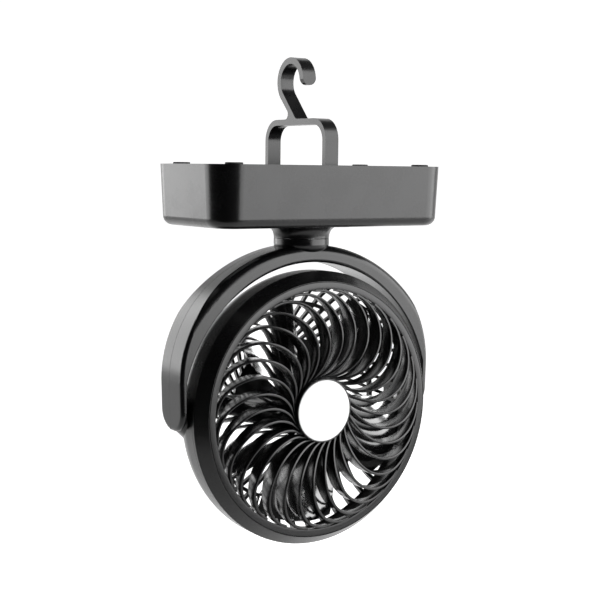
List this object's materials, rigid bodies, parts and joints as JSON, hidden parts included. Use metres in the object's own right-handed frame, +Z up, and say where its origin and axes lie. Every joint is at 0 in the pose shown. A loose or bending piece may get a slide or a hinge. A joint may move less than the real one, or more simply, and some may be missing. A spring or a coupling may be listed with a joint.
{
  "type": "portable camping fan",
  "caption": "Battery camping fan that hangs from a folding hook: flat case, swivelling yoke and tilting round caged head with curved grille bars and a five-blade rotor",
  "frame": {"origin": "Centre of the hook throat, where the fan hangs, midway across the hook strap", "axes": "+Z up (the hook is on top, the head hangs below), -Y the front, where the grille faces, +X to the right seen from the front"},
  "size_m": [0.1744, 0.0804, 0.2867],
  "materials": {
    "case_black": "fine texture, satin",
    "hook_black": "satin",
    "yoke_black": "satin",
    "grille_black": "satin",
    "impeller_black": "mirror gloss",
    "badge_white": "smooth, plain",
    "rubber_black": "matt",
    "button_grey": "satin",
    "lens_milky": "milky, translucent",
    "bearing_plastic": "smooth acetal",
    "switch_black": "satin",
    "board_green": "solder mask",
    "board_white": "solder mask",
    "cell_wrap": "shrink wrap",
    "screw_steel": "zinc plated",
    "pin_steel": "ground",
    "port_steel": "stamped",
    "can_steel": "drawn",
    "nickel": "strip",
    "stem_alu": "turned",
    "stator_iron": "laminated",
    "magnet_grey": "bonded ferrite",
    "bearing_brass": "sintered"
  },
  "bodies": {
    "case": {"base_housing": "case_black", "base_cover": "case_black", "rubber_feet": "rubber_black", "cover_screws": "screw_steel", "hook_pins": "pin_steel", "battery_cells": "cell_wrap", "cell_strips": "nickel", "control_board": "board_green", "charge_board": "board_green", "charge_port": "port_steel", "led_lenses": "lens_milky", "led_boards": "board_white", "switches": "switch_black", "indicator_lens": "lens_milky", "swivel_bush": "bearing_plastic"},
    "hook": {"hanging_hook": "hook_black"},
    "yoke": {"yoke_front_shell": "yoke_black", "yoke_rear_shell": "yoke_black", "yoke_screws": "screw_steel", "swivel_stem": "stem_alu", "stem_washer": "bearing_plastic", "stem_nut": "pin_steel", "pivot_pins": "pin_steel"},
    "head": {"front_bezel": "case_black", "front_grille": "grille_black", "hub_badge": "badge_white", "rear_cage": "case_black", "pivot_bushes": "bearing_plastic", "cage_screws": "screw_steel", "motor_can": "can_steel", "motor_screws": "screw_steel", "stator": "stator_iron", "motor_board": "board_green", "motor_bearings": "bearing_brass"},
    "rotor": {"impeller": "impeller_black", "impeller_nut": "screw_steel", "motor_shaft": "pin_steel", "rotor_magnet": "magnet_grey"},
    "fan_button": {"fan_button": "button_grey"},
    "light_button": {"light_button": "button_grey"}
  },
  "joints": [
    {"name": "hook_fold", "type": "hinge", "parent": "case", "child": "hook", "pos_m": [0, -0.0053, -0.0535], "axis": [0, 1, 0], "range_deg": [0, 90]},
    {"name": "yoke_swivel", "type": "hinge", "parent": "case", "child": "yoke", "pos_m": [0.0012, -0.0053, -0.0916], "axis": [0, 0, 1], "range_deg": [-180, 180]},
    {"name": "head_tilt", "type": "hinge", "parent": "yoke", "child": "head", "pos_m": [0.0012, -0.0053, -0.1914], "axis": [1, 0, 0], "range_deg": [-90, 90]},
    {"name": "impeller_spin", "type": "hinge", "parent": "head", "child": "rotor", "pos_m": [0.0012, -0.0053, -0.1914], "axis": [0, 1, 0], "continuous": true},
    {"name": "fan_button_press", "type": "slide", "parent": "case", "child": "fan_button", "axis": [0, 0, 1], "range_m": [0, 0.0008], "stiffness_N_per_m": 1500, "springref_m": -0.0004},
    {"name": "light_button_press", "type": "slide", "parent": "case", "child": "light_button", "axis": [0, 0, 1], "range_m": [0, 0.0008], "stiffness_N_per_m": 1500, "springref_m": -0.0004}
  ]
}
